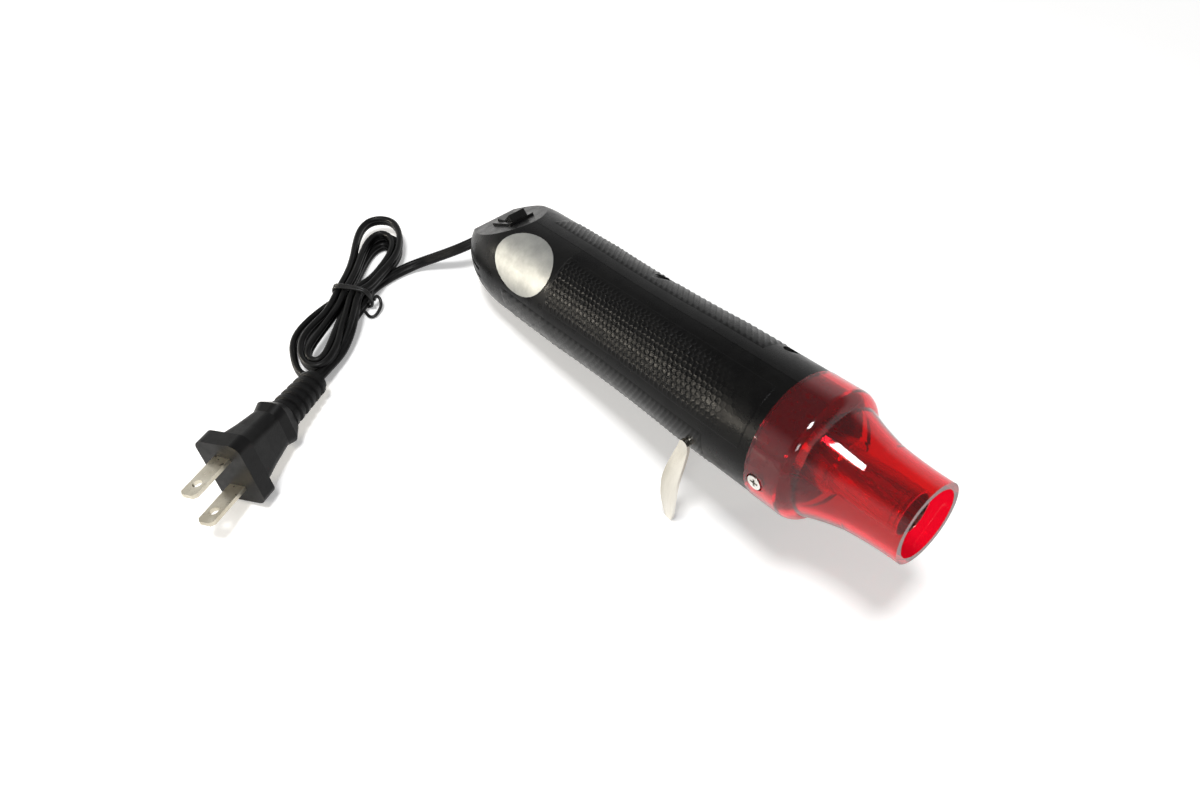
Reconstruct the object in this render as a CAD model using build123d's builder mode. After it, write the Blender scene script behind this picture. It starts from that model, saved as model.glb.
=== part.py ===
"""Embossing heat tool on its two flip-out legs, with its cord in a tied hank beside its tail.

Millimetres, +Z up, +X towards the nozzle. The origin lies on the table under the middle of the tool.
Tool places are given along the tool's own axis: x from the rear edge of the guard, y across, z up.
"""
import os
from math import asin, cos, radians, sin, sqrt, tan

from build123d import *

os.makedirs("parts", exist_ok=True)

# Placement of the tool, which lies nose up on its tail and legs
rest_tilt = 10.67

# Housing, outside
barrel_r = 21.3
waist_dip = 0.6
waist_front_x = -34.0
waist_mid_x = -66.0
waist_rear_x = -98.0
tail_arc_x = -134.0
tail_arc_r = 43.3
tail_x = -159.5
spigot_step = 2.1
spigot_x = 10.5
facet_top = 18.6
facet_slope = 20.8
seam_gap = 0.12

# Housing, inside
wall = 2.0
neck_x = -4.0
front_opening_r = 14.0
rib_width = 2.0
front_rib_x = -12.0
rear_rib_x = -57.0
rib_seat_gap = 0.1
cut_spare = 8.0

# Air slots in the tail
vent_count = 5
vent_x = -148.9
vent_length = 15.6
vent_width = 1.2
vent_pitch = 3.5
vent_middle_z = -3.4
vent_start_y = 8.5
vent_reach = 14.0

# Housing screws, which enter from the far side
boss_r = 2.8
boss_wall_gap = 0.6
tail_boss_lift = 0.6
screw_shank_r = 1.1
screw_pass_r = 1.3
screw_head_r = 2.4
screw_head_height = 1.8
screw_seat_y = 8.5
screw_tip_y = -6.5
screw_depth_spare = 0.5
counterbore_r = 2.7
cross_length = 2.8
cross_width = 0.7
cross_depth = 0.9
front_screw_x = -14.0
middle_screw_x = -70.0
tail_screw_x = -136.0

# Guard
guard_proud = 0.2
guard_fit = 0.3
guard_bend_x = 10.9
guard_wall = 2.0
guard_forward_shares = (0.0785, 0.1279, 0.3023, 0.5029, 0.7529, 1.0)
guard_radius_shares = (0.878, 0.6163, 0.3605, 0.1395, 0.0349, 0.0)
guard_inner_back_shares = (0.5, 0.7, 0.45, 0.2, 0.1, 0.0)
guard_inner_drop_shares = (1.075, 0.95, 0.975, 0.975, 0.975, 1.0)
mouth_x = 45.3
mouth_r = 12.9
guard_screw_x = 4.1
guard_recess_depth = 1.3
guard_recess_r = 2.9
guard_screw_head = 1.5
guard_screw_length = 5.2
guard_hole_r = 1.4

# Heater tube
tube_rear_x = -62.0
tube_cone_x = 2.0
tube_neck_x = 10.0
tube_step_x = 18.5
tube_end_x = 41.0
tube_r = 12.6
tube_neck_r = 9.0
tube_wall = 0.5
outlet_r = 6.6
outlet_wall = 0.7
bead_insets = (2.8, 1.1)
bead_half = 0.45
bead_depth = 0.3

# Heating element
liner_gap = 0.1
liner_thick = 0.4
liner_inset = 1.0
liner_front_inset = 2.0
cross_inset = 1.0
cross_front_inset = 4.0
mica_thick = 0.6
coil_r = 9.4
coil_wire_r = 0.45
coil_turns = 9
coil_pitch = 5.4
coil_inset = 4.0
cutoff_r = 3.6
cutoff_length = 4.5

# Motor and fan
motor_r = 12.0
motor_rear_x = -107.0
motor_length = 32.0
cap_length = 3.5
cap_r = 10.0
cap_hub_r = 3.5
cap_hub_length = 2.0
shaft_r = 1.15
shaft_clearance = 0.05
shaft_spare = 1.5
bearing_r = 3.0
bearing_length = 2.0
fan_gap = 1.0
fan_length = 11.0
fan_hub_r = 4.5
fan_tip_gap = 1.1
fan_plate = 1.2
blade_count = 9
fan_blade_thick = 1.0
fan_blade_sink = 0.5
shroud_gap = 0.2
shroud_wall = 1.4
shroud_spare = 1.6
shroud_overlap = 9.0
cup_wall = 1.6
strut_inset = 1.0
strut_count = 4
strut_thick = 1.8

# Circuit board with its rectifier
board_gap = 5.4
board_thick = 1.6
board_width = 32.6
board_height = 20.0
board_hole_r = 3.2
diode_r = 1.35
diode_length = 5.2
diode_spots = ((-9.0, 4.0), (-9.0, -4.0), (9.0, 4.0), (9.0, -4.0))
diode_lead_r = 0.4
diode_lead_length = 9.0

# Rocker switch in the facet
switch_x = -143.5
bezel_length = 15.0
bezel_width = 10.8
bezel_height = 0.9
switch_length = 13.4
switch_width = 9.4
switch_depth = 10.5
pocket_length = 12.8
pocket_width = 7.4
pocket_depth = 4.2
rocker_arc_r = 6.1
rocker_half_width = 3.45
rocker_floor = -1.7
rocker_peak = 2.9
rocker_dip = 1.3
rocker_turn = 8.0
rocker_pin_r = 0.9
rocker_pin_reach = 4.2
pin_clearance = 0.05
terminal_spots = (-4.0, 4.0)
terminal_width = 4.8
terminal_thick = 0.8
terminal_length = 4.5

# Cord clamp in the tail
cradle_x = -150.0
cradle_length = 4.6
cradle_half = 9.0
cord_line_z = -2.0
clamp_top_z = 1.4
clamp_half = 8.6
clamp_screw_y = 5.6
clamp_screw_head_r = 1.9
clamp_screw_head_height = 1.3
clamp_screw_depth = 6.0
clamp_screw_r = 0.9
core_rear_x = -157.0
core_front_x = -145.5

# Lead wires inside
wire_r = 0.7
wire_tail_y = 1.0
wire_motor_y = 5.0
wire_heater_z = 6.0
wire_bend_z = -9.0

# Cord outlet and its bent boot
boot_neck_r = 4.0
boot_flange_r = 5.6
boot_flange_thick = 1.6
boot_collar_r = 5.2
boot_collar_thick = 1.0
boot_root_r = 4.3
boot_tip_r = 2.5
boot_straight = 1.0
boot_bend_r = 7.5
boot_turn = 75.0
boot_steps = 3

# Stand legs
pivot_x = -24.0
pivot_z = -4.7
leg_pin_r = 1.5
leg_pin_reach = 7.35
leg_boss_r = 3.6
leg_boss_length = 7.8
leg_hole_depth = 6.8
leg_gap = 1.05
leg_bow = 5.55
leg_thick = 1.2
leg_width = 6.7
leg_end_r = 1.75
leg_foot_forward = 1.5
leg_bow_shares = (0.0, 0.928, 1.0, 0.802)
leg_height_shares = (0.951, 0.609, 0.3206, 0.0)
leg_middle_share = 0.5076
leg_radii = (9.0, 24.0, 40.0)

# Rating disc, an oval left bare
label_half_length = 16.0
label_half_width = 11.65
label_thick = 0.2
label_gap = 0.02
label_x = -116.0
label_turn = 45.8

# Cord and its hank
cord_d = 3.2
loop_gap = 0.45
turns = 4
stations = 8
arc_share = 0.45
nearly_straight = 0.1
hank_centre = (-121.3, -59.8)
hank_heading = -48.6
lower_bend = -13.0
waist_inner = 1.1
waist_step = 4.05
side_inner = 3.2
side_step = 4.15
upper_inner = 41.0
upper_step = 4.6
lower_inner = 28.0
lower_step = 4.1
waist_lift = 1.6
straight_end = 3.2
lead_first = 7.5
lead_points = ((-117.0, -19.8, 7.2), (-123.9, -27.6, 2.6), (-126.0, -36.6, 1.75))
lead_last = 8.5
end_first = 8.5
end_points = ((-101.7, -68.6, 5.2), (-96.6, -77.6, 4.4))
end_last = 8.5

# Twist tie round the waist
tie_thick = 1.2
tie_width = 1.4
tie_gap = 0.3
tie_corner = 2.0
tie_wire_r = 0.6
tie_loop = ((0.0, 3.0), (3.0, 5.6), (7.0, 4.6), (7.4, 1.6), (4.2, 0.9))
tie_curl = ((0.0, -1.9), (-1.9, -3.4), (-4.0, -2.5))
tie_bend_r = 1.1

# Plug, which stands on a corner of its flange and leans back on its strain relief
plug_face = (-63.8, -134.2)
plug_heading = -58.5
plug_lean = 9.5
plug_roll = 11.0
flange_height = 26.2
flange_width = 18.2
flange_length = 5.8
flange_corner = 3.5
grip_length = 23.2
grip_height = 21.4
grip_width = 14.5
grip_back_shares = (0.0, 0.353, 0.711, 0.871, 1.0)
grip_height_shares = (1.0, 0.869, 0.766, 0.85, 0.626)
grip_width_shares = (1.0, 0.855, 0.752, 0.855, 0.772)
grip_corner = 4.2
relief_length = 21.0
relief_root_r = 5.3
relief_tip_r = 4.5
rib_rise = 0.8
rib_count = 6
rib_shares = (0.0, 0.14, 0.52, 0.66)
blade_length = 17.0
blade_width = 6.35
blade_thick = 1.5
blade_apart = 12.7
blade_tip = 1.2
blade_hole_r = 1.6
blade_hole_x = 11.9

# Sizes that follow from the ones above
waist_r = barrel_r - waist_dip
spigot_r = barrel_r - spigot_step
rib_seat_r = tube_r + rib_seat_gap
boss_z = barrel_r - wall - boss_r - boss_wall_gap
screw_spots = (
    (front_screw_x, boss_z), (front_screw_x, -boss_z), (middle_screw_x, boss_z), (middle_screw_x, -boss_z),
    (tail_screw_x, tail_boss_lift - boss_z),
)
guard_r = barrel_r + guard_proud
guard_inner_r = spigot_r + guard_fit
guard_screw_seat = guard_r - guard_recess_depth
guard_screw_tip = guard_screw_seat - guard_screw_length
guard_outer = []
guard_inner = []
for forward, radius, inner_back, inner_drop in zip(
    guard_forward_shares, guard_radius_shares, guard_inner_back_shares, guard_inner_drop_shares,
):
    guard_point = (guard_bend_x + (mouth_x - guard_bend_x) * forward, mouth_r + (guard_r - mouth_r) * radius)
    guard_outer.append(guard_point)
    guard_inner.append((guard_point[0] - guard_wall * inner_back, guard_point[1] - guard_wall * inner_drop))
tube_nose_r = outlet_r + outlet_wall
liner_outer_r = tube_r - tube_wall - liner_gap
liner_inner_r = liner_outer_r - liner_thick
liner_rear_x = tube_rear_x + liner_inset
liner_front_x = tube_cone_x - liner_front_inset
cross_half = liner_inner_r - liner_gap
cross_rear_x = liner_rear_x + cross_inset
cross_front_x = liner_front_x - cross_front_inset
coil_rear_x = cross_rear_x + coil_inset
motor_front_x = motor_rear_x + motor_length
cap_front_x = motor_front_x + cap_length
fan_front_x = motor_rear_x - bearing_length - fan_gap
fan_rear_x = fan_front_x - fan_length
shaft_rear_x = fan_rear_x - shaft_spare
shroud_r = barrel_r - wall - shroud_gap
shroud_inner_r = shroud_r - shroud_wall
fan_r = shroud_inner_r - fan_tip_gap
fan_blade_root = fan_hub_r - fan_blade_sink
shroud_rear_x = fan_rear_x - shroud_spare
shroud_front_x = motor_rear_x + shroud_overlap
cup_r = motor_r + cup_wall
strut_root_r = motor_r + cup_wall / 2
strut_rear_x = motor_rear_x + strut_inset
board_x = shroud_rear_x - board_gap - board_thick
leg_in = barrel_r + leg_gap
grip_backs = [flange_length + grip_length * share for share in grip_back_shares]
grip_heights = [grip_height * share for share in grip_height_shares]
grip_widths = [grip_width * share for share in grip_width_shares]

# Frame of the tool
lie = radians(rest_tilt)
rise = tail_arc_r + (barrel_r - tail_arc_r) * cos(lie) - tail_arc_x * sin(lie)
facet_low = facet_top + (tail_x - tail_arc_x) * tan(radians(facet_slope))
tail_reach = -tail_x * cos(lie) + facet_low * sin(lie)
nose_reach = mouth_x * cos(lie) + mouth_r * sin(lie)
shift = (tail_reach - nose_reach) / 2
tool = Plane(origin=(shift, 0, rise), x_dir=(cos(lie), 0, sin(lie)), z_dir=(-sin(lie), 0, cos(lie)))
tool_axis = Axis(tool.origin, tool.x_dir)
side_plane = Plane(origin=tool.origin, x_dir=tool.x_dir, z_dir=-tool.y_dir)


def spot(x, y, z):
    """World place of a tool place."""
    return tool.from_local_coords(Vector(x, y, z))


def across(x):
    """Plane square to the tool's axis, with y to the right and z up."""
    return Plane(origin=spot(x, 0, 0), x_dir=tool.y_dir, z_dir=tool.x_dir)


def outward(x, y, z, hand):
    """Plane that looks out of one side of the tool, at a distance y from its middle."""
    return Plane(origin=spot(x, hand * y, z), x_dir=tool.x_dir, z_dir=tool.y_dir * hand)


def above(x, y, z):
    """Plane that looks up along the tool's z."""
    return Plane(origin=spot(x, y, z), x_dir=tool.x_dir, z_dir=tool.z_dir)


def tail_point(turn, inset):
    """Point of the tail's outline, turned from where its arc starts."""
    reach = tail_arc_r - inset
    return (tail_arc_x - reach * sin(turn), barrel_r - tail_arc_r + reach * cos(turn))


def ring(x, length, outer, inner):
    """Ring about the tool's axis, from x forward."""
    with BuildSketch(across(x)) as flat:
        Circle(outer)
        Circle(inner, mode=Mode.SUBTRACT)
    extrude(flat.sketch, amount=length)


def disc(x, length, outer):
    """Round piece about the tool's axis, from x forward."""
    with BuildSketch(across(x)) as flat:
        Circle(outer)
    extrude(flat.sketch, amount=length)


def keep(name, label):
    """Name a piece and write it."""
    name.part.label = label
    export_step(name.part, "parts/" + label + ".step")


# Housing
tail_turn = asin((tail_arc_x - tail_x) / tail_arc_r)
inner_turn = asin((tail_arc_x - tail_x - wall) / (tail_arc_r - wall))
facet_rise = tan(radians(facet_slope))

with BuildPart() as outside:
    with BuildSketch(side_plane):
        with BuildLine():
            Polyline((tail_x, 0), tail_point(tail_turn, 0))
            ThreePointArc(tail_point(tail_turn, 0), tail_point(tail_turn / 2, 0), (tail_arc_x, barrel_r))
            Line((tail_arc_x, barrel_r), (waist_rear_x, barrel_r))
            ThreePointArc((waist_rear_x, barrel_r), (waist_mid_x, waist_r), (waist_front_x, barrel_r))
            Polyline((waist_front_x, barrel_r), (0, barrel_r), (0, spigot_r), (spigot_x, spigot_r))
            Line((spigot_x, spigot_r), (spigot_x, 0))
            Line((spigot_x, 0), (tail_x, 0))
        make_face()
    revolve(axis=tool_axis)
    with BuildSketch(side_plane):
        with BuildLine():
            low_x = tail_x - cut_spare
            high_x = tail_arc_x + cut_spare
            low_z = facet_top + (low_x - tail_arc_x) * facet_rise
            high_z = facet_top + (high_x - tail_arc_x) * facet_rise
            Polyline((low_x, low_z), (high_x, high_z), (low_x, high_z), close=True)
        make_face()
    extrude(amount=barrel_r, both=True, mode=Mode.SUBTRACT)

with BuildPart() as cavity:
    with BuildSketch(side_plane):
        with BuildLine():
            Polyline((tail_x + wall, 0), tail_point(inner_turn, wall))
            ThreePointArc(tail_point(inner_turn, wall), tail_point(inner_turn / 2, wall), tail_point(0, wall))
            Polyline(
                tail_point(0, wall), (neck_x, barrel_r - wall), (neck_x, spigot_r - wall),
                (spigot_x - wall, spigot_r - wall), (spigot_x - wall, 0), (tail_x + wall, 0),
            )
        make_face()
    revolve(axis=tool_axis)
    with BuildSketch(side_plane):
        with BuildLine():
            drop = wall / cos(radians(facet_slope))
            Polyline((low_x, low_z - drop), (high_x, high_z - drop), (low_x, high_z), close=True)
        make_face()
    extrude(amount=barrel_r, both=True, mode=Mode.SUBTRACT)

with BuildPart() as fittings:
    for rib_x in (front_rib_x, rear_rib_x):
        ring(rib_x, rib_width, barrel_r - wall / 2, rib_seat_r)
    for screw_x, screw_z in screw_spots:
        with BuildSketch(outward(screw_x, 0, screw_z, 1)):
            Circle(boss_r)
        extrude(amount=barrel_r, both=True)
    for hand in (-1, 1):
        with BuildSketch(outward(pivot_x, barrel_r - leg_boss_length, pivot_z, hand)):
            Circle(leg_boss_r)
        extrude(amount=leg_boss_length)
    with BuildSketch(across(cradle_x - cradle_length / 2)):
        with Locations((0, cord_line_z - cord_d / 2 - barrel_r / 2)):
            Rectangle(2 * cradle_half, barrel_r)
    extrude(amount=cradle_length)
    add(outside.part, mode=Mode.INTERSECT)

with BuildPart() as shell:
    add(outside.part)
    add(cavity.part, mode=Mode.SUBTRACT)
    add(fittings.part)
    with BuildSketch(across(spigot_x - wall)):
        Circle(front_opening_r)
    extrude(amount=wall, mode=Mode.SUBTRACT)
    with BuildSketch(across(tail_x)):
        with Locations((0, cord_line_z)):
            Circle(boot_neck_r)
    extrude(amount=wall, mode=Mode.SUBTRACT)
    for hand in (-1, 1):
        with BuildSketch(outward(pivot_x, barrel_r - leg_hole_depth, pivot_z, hand)):
            Circle(leg_pin_r + pin_clearance)
        extrude(amount=leg_hole_depth, mode=Mode.SUBTRACT)
        with BuildSketch(outward(guard_screw_x, guard_screw_tip, 0, hand)):
            Circle(screw_shank_r)
        extrude(amount=spigot_r - guard_screw_tip, mode=Mode.SUBTRACT)
        with BuildSketch(outward(vent_x, vent_start_y, 0, hand)):
            for slot in range(vent_count):
                slot_z = vent_middle_z + (slot - (vent_count - 1) / 2) * vent_pitch
                with Locations((0, -hand * slot_z)):
                    SlotOverall(vent_length, vent_width)
        extrude(amount=vent_reach, mode=Mode.SUBTRACT)
        with BuildSketch(above(cradle_x, hand * clamp_screw_y, cord_line_z - cord_d / 2)):
            Circle(clamp_screw_r)
        extrude(amount=-clamp_screw_depth, mode=Mode.SUBTRACT)
    for screw_x, screw_z in screw_spots:
        with BuildSketch(outward(screw_x, screw_tip_y - screw_depth_spare, screw_z, 1)):
            Circle(screw_shank_r)
        extrude(amount=screw_seat_y - screw_tip_y + screw_depth_spare, mode=Mode.SUBTRACT)
        with BuildSketch(outward(screw_x, 0, screw_z, 1)):
            Circle(screw_pass_r)
        extrude(amount=screw_seat_y, mode=Mode.SUBTRACT)
        with BuildSketch(outward(screw_x, screw_seat_y, screw_z, 1)):
            Circle(counterbore_r)
        extrude(amount=barrel_r - screw_seat_y, mode=Mode.SUBTRACT)
    facet_place = spot(switch_x, 0, facet_top + (switch_x - tail_arc_x) * facet_rise)
    facet_dir = tool.x_dir * cos(radians(facet_slope)) + tool.z_dir * sin(radians(facet_slope))
    facet_up = tool.z_dir * cos(radians(facet_slope)) - tool.x_dir * sin(radians(facet_slope))
    facet = Plane(origin=facet_place, x_dir=facet_dir, z_dir=facet_up)
    with BuildSketch(facet):
        Rectangle(switch_length, switch_width)
    extrude(amount=-wall * 2, mode=Mode.SUBTRACT)

for hand, label in ((-1, "housing_left"), (1, "housing_right")):
    with BuildPart() as half:
        add(shell.part)
        cut_plane = Plane(origin=spot(0, hand * seam_gap / 2, 0), x_dir=tool.x_dir, z_dir=tool.y_dir * hand)
        split(bisect_by=cut_plane, keep=Keep.TOP)
    keep(half, label)

# Guard
with BuildPart() as guard:
    with BuildSketch(side_plane):
        with BuildLine():
            Line((0, guard_r), (guard_bend_x, guard_r))
            ThreePointArc((guard_bend_x, guard_r), guard_outer[0], guard_outer[1])
            ThreePointArc(guard_outer[1], guard_outer[2], guard_outer[3])
            ThreePointArc(guard_outer[3], guard_outer[4], guard_outer[5])
            Line(guard_outer[5], guard_inner[5])
            ThreePointArc(guard_inner[5], guard_inner[4], guard_inner[3])
            ThreePointArc(guard_inner[3], guard_inner[2], guard_inner[1])
            ThreePointArc(guard_inner[1], guard_inner[0], (guard_bend_x, guard_inner_r))
            Polyline((guard_bend_x, guard_inner_r), (0, guard_inner_r), (0, guard_r))
        make_face()
    revolve(axis=tool_axis)
    for hand in (-1, 1):
        with BuildSketch(outward(guard_screw_x, guard_screw_seat, 0, hand)):
            Circle(guard_recess_r)
        extrude(amount=guard_r - guard_screw_seat, mode=Mode.SUBTRACT)
        with BuildSketch(outward(guard_screw_x, guard_screw_tip, 0, hand)):
            Circle(guard_hole_r)
        extrude(amount=guard_screw_seat - guard_screw_tip, mode=Mode.SUBTRACT)
keep(guard, "nozzle_guard")


def screw(place, head_r, head_height, shank_r, shank_length):
    """Pan head screw with a cross, its head standing on the plane."""
    with BuildSketch(place) as head:
        Circle(head_r)
    extrude(head.sketch, amount=head_height)
    with BuildSketch(place) as shank:
        Circle(shank_r)
    extrude(shank.sketch, amount=-shank_length)
    with BuildSketch(place.offset(head_height)) as cross:
        Rectangle(cross_length, cross_width)
        Rectangle(cross_width, cross_length)
    extrude(cross.sketch, amount=-cross_depth, mode=Mode.SUBTRACT)


with BuildPart() as guard_screws:
    for hand in (-1, 1):
        place = outward(guard_screw_x, guard_screw_seat, 0, hand)
        screw(place, screw_head_r, guard_screw_head, screw_shank_r, guard_screw_length)
keep(guard_screws, "guard_screws")

with BuildPart() as housing_screws:
    for screw_x, screw_z in screw_spots:
        place = outward(screw_x, screw_seat_y, screw_z, 1)
        screw(place, screw_head_r, screw_head_height, screw_shank_r, screw_seat_y - screw_tip_y)
keep(housing_screws, "housing_screws")

# Heater tube, its liner, mica cross and coil
with BuildPart() as heater_tube:
    with BuildSketch(side_plane):
        with BuildLine():
            Polyline(
                (tube_rear_x, tube_r), (tube_cone_x, tube_r), (tube_neck_x, tube_neck_r),
                (tube_step_x, tube_neck_r), (tube_step_x, tube_nose_r), (tube_end_x, tube_nose_r),
                (tube_end_x, outlet_r), (tube_step_x - tube_wall, outlet_r),
                (tube_step_x - tube_wall, tube_neck_r - tube_wall), (tube_neck_x, tube_neck_r - tube_wall),
                (tube_cone_x, tube_r - tube_wall), (tube_rear_x, tube_r - tube_wall), close=True,
            )
        make_face()
        for bead_inset in bead_insets:
            bead_x = tube_end_x - bead_inset
            with BuildLine():
                Polyline(
                    (bead_x - bead_half, tube_nose_r), (bead_x, tube_nose_r - bead_depth),
                    (bead_x + bead_half, tube_nose_r), close=True,
                )
            make_face(mode=Mode.SUBTRACT)
    revolve(axis=tool_axis)
keep(heater_tube, "heater_tube")

with BuildPart() as mica_liner:
    ring(liner_rear_x, liner_front_x - liner_rear_x, liner_outer_r, liner_inner_r)
keep(mica_liner, "mica_liner")

with BuildPart() as mica_cross:
    with BuildSketch(across(cross_rear_x)):
        Rectangle(2 * cross_half, mica_thick)
        Rectangle(mica_thick, 2 * cross_half)
    extrude(amount=cross_front_x - cross_rear_x)
keep(mica_cross, "mica_cross")

with BuildPart() as heating_coil:
    with BuildLine() as coil_line:
        coil_place = spot(coil_rear_x, 0, 0)
        Helix(coil_pitch, coil_pitch * coil_turns, coil_r, center=coil_place, direction=tool.x_dir)
    with BuildSketch(Plane(origin=coil_line.line @ 0, z_dir=coil_line.line % 0)):
        Circle(coil_wire_r)
    sweep(path=coil_line.line, is_frenet=True)
keep(heating_coil, "heating_coil")

with BuildPart() as thermal_cutoff:
    disc(cross_rear_x - cutoff_length, cutoff_length, cutoff_r)
keep(thermal_cutoff, "thermal_cutoff")

# Motor and fan
with BuildPart() as motor_can:
    disc(motor_rear_x, motor_front_x - motor_rear_x, motor_r)
    disc(motor_rear_x - bearing_length, bearing_length, bearing_r)
    with BuildSketch(across(motor_rear_x - bearing_length)):
        Circle(shaft_r + shaft_clearance)
    extrude(amount=motor_front_x - motor_rear_x + bearing_length, mode=Mode.SUBTRACT)
keep(motor_can, "motor_can")

with BuildPart() as motor_end_cap:
    disc(motor_front_x, cap_front_x - motor_front_x, cap_r)
    disc(cap_front_x, cap_hub_length, cap_hub_r)
keep(motor_end_cap, "motor_end_cap")

with BuildPart() as motor_shaft:
    disc(shaft_rear_x, motor_front_x - shaft_rear_x - seam_gap, shaft_r)
keep(motor_shaft, "motor_shaft")

with BuildPart() as fan_impeller:
    disc(fan_rear_x, fan_front_x - fan_rear_x, fan_hub_r)
    disc(fan_front_x - fan_plate, fan_plate, fan_r)
    with BuildSketch(across(fan_rear_x)):
        with PolarLocations(0, blade_count):
            with Locations(((fan_blade_root + fan_r) / 2, 0)):
                Rectangle(fan_r - fan_blade_root, fan_blade_thick)
    extrude(amount=fan_front_x - fan_rear_x)
    with BuildSketch(across(fan_rear_x)):
        Circle(shaft_r)
    extrude(amount=fan_front_x - fan_rear_x, mode=Mode.SUBTRACT)
keep(fan_impeller, "fan_impeller")

with BuildPart() as fan_shroud:
    ring(shroud_rear_x, shroud_front_x - shroud_rear_x, shroud_r, shroud_inner_r)
    ring(strut_rear_x, shroud_front_x - strut_rear_x, cup_r, motor_r)
    with BuildSketch(across(strut_rear_x)):
        with PolarLocations(0, strut_count):
            with Locations(((strut_root_r + shroud_inner_r) / 2 + seam_gap, 0)):
                Rectangle(shroud_inner_r - strut_root_r + seam_gap, strut_thick)
    extrude(amount=shroud_front_x - strut_rear_x)
keep(fan_shroud, "fan_shroud")

# Circuit board with its rectifier
with BuildPart() as circuit_board:
    with BuildSketch(across(board_x)):
        Rectangle(board_width, board_height)
        Circle(board_hole_r, mode=Mode.SUBTRACT)
    extrude(amount=board_thick)
keep(circuit_board, "circuit_board")

with BuildPart() as rectifier_diodes:
    for diode_y, diode_z in diode_spots:
        with BuildSketch(Plane(origin=spot(board_x - diode_r, diode_y, diode_z), z_dir=tool.y_dir)):
            Circle(diode_r)
        extrude(amount=diode_length / 2, both=True)
        with BuildSketch(Plane(origin=spot(board_x - diode_r, diode_y, diode_z), z_dir=tool.y_dir)):
            Circle(diode_lead_r)
        extrude(amount=diode_lead_length / 2, both=True)
keep(rectifier_diodes, "rectifier_diodes")

# Rocker switch
facet_side = Plane(origin=facet_place, x_dir=facet_dir, z_dir=-tool.y_dir)
with BuildPart() as switch_body:
    with BuildSketch(facet):
        Rectangle(bezel_length, bezel_width)
    extrude(amount=bezel_height)
    with BuildSketch(facet):
        Rectangle(switch_length, switch_width)
    extrude(amount=-switch_depth)
    with BuildSketch(facet.offset(bezel_height)):
        Rectangle(pocket_length, pocket_width)
    extrude(amount=-pocket_depth - bezel_height, mode=Mode.SUBTRACT)
    with BuildSketch(facet_side):
        Circle(rocker_pin_r + pin_clearance)
    extrude(amount=rocker_pin_reach + pin_clearance, both=True, mode=Mode.SUBTRACT)
keep(switch_body, "switch_body")

rocker_side = Plane(
    origin=facet_place,
    x_dir=facet_dir * cos(radians(rocker_turn)) + facet_up * sin(radians(rocker_turn)),
    z_dir=-tool.y_dir,
)
with BuildPart() as switch_rocker:
    with BuildSketch(rocker_side):
        Circle(rocker_arc_r)
        with BuildLine():
            Polyline(
                (-rocker_arc_r, rocker_floor), (rocker_arc_r, rocker_floor), (rocker_arc_r, rocker_peak),
                (0, rocker_dip), (-rocker_arc_r, rocker_peak), close=True,
            )
        make_face(mode=Mode.INTERSECT)
    extrude(amount=rocker_half_width, both=True)
    with BuildSketch(rocker_side):
        Circle(rocker_pin_r)
    extrude(amount=rocker_pin_reach, both=True)
keep(switch_rocker, "switch_rocker")

with BuildPart() as switch_terminals:
    with BuildSketch(facet.offset(-switch_depth)):
        for terminal_x in terminal_spots:
            with Locations((terminal_x, 0)):
                Rectangle(terminal_thick, terminal_width)
    extrude(amount=-terminal_length)
keep(switch_terminals, "switch_terminals")

# Cord clamp, its screws and the cord's inner end
clamp_floor = cord_line_z - cord_d / 2
with BuildPart() as cord_clamp:
    with BuildSketch(across(cradle_x - cradle_length / 2)):
        with Locations((0, (clamp_floor + clamp_top_z) / 2)):
            Rectangle(2 * clamp_half, clamp_top_z - clamp_floor)
        with Locations((0, cord_line_z)):
            Circle(cord_d / 2, mode=Mode.SUBTRACT)
            with Locations((0, -cord_d / 2)):
                Rectangle(cord_d, cord_d, mode=Mode.SUBTRACT)
    extrude(amount=cradle_length)
    for hand in (-1, 1):
        with BuildSketch(above(cradle_x, hand * clamp_screw_y, clamp_floor)):
            Circle(clamp_screw_r)
        extrude(amount=clamp_top_z - clamp_floor, mode=Mode.SUBTRACT)
keep(cord_clamp, "cord_clamp")

with BuildPart() as clamp_screws:
    for hand in (-1, 1):
        with BuildSketch(above(cradle_x, hand * clamp_screw_y, clamp_top_z)):
            Circle(clamp_screw_head_r)
        extrude(amount=clamp_screw_head_height)
        with BuildSketch(above(cradle_x, hand * clamp_screw_y, clamp_top_z)):
            Circle(clamp_screw_r)
        extrude(amount=clamp_floor - clamp_top_z - clamp_screw_depth)
keep(clamp_screws, "clamp_screws")

with BuildPart() as cord_core:
    with BuildSketch(across(core_rear_x)):
        with Locations((0, cord_line_z)):
            Circle(cord_d / 2)
    extrude(amount=core_front_x - core_rear_x)
keep(cord_core, "cord_core")

# Lead wires from the cord to the board and from the motor to the heater
with BuildPart() as lead_wires:
    for hand in (-1, 1):
        with BuildSketch(across(core_front_x)):
            with Locations((hand * wire_tail_y, cord_line_z)):
                Circle(wire_r)
        extrude(amount=board_x - core_front_x)
        with BuildSketch(across(cap_front_x)):
            with Locations((hand * wire_motor_y, 0)):
                Circle(wire_r)
        extrude(amount=cross_rear_x - cap_front_x)
keep(lead_wires, "lead_wires")

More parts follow.
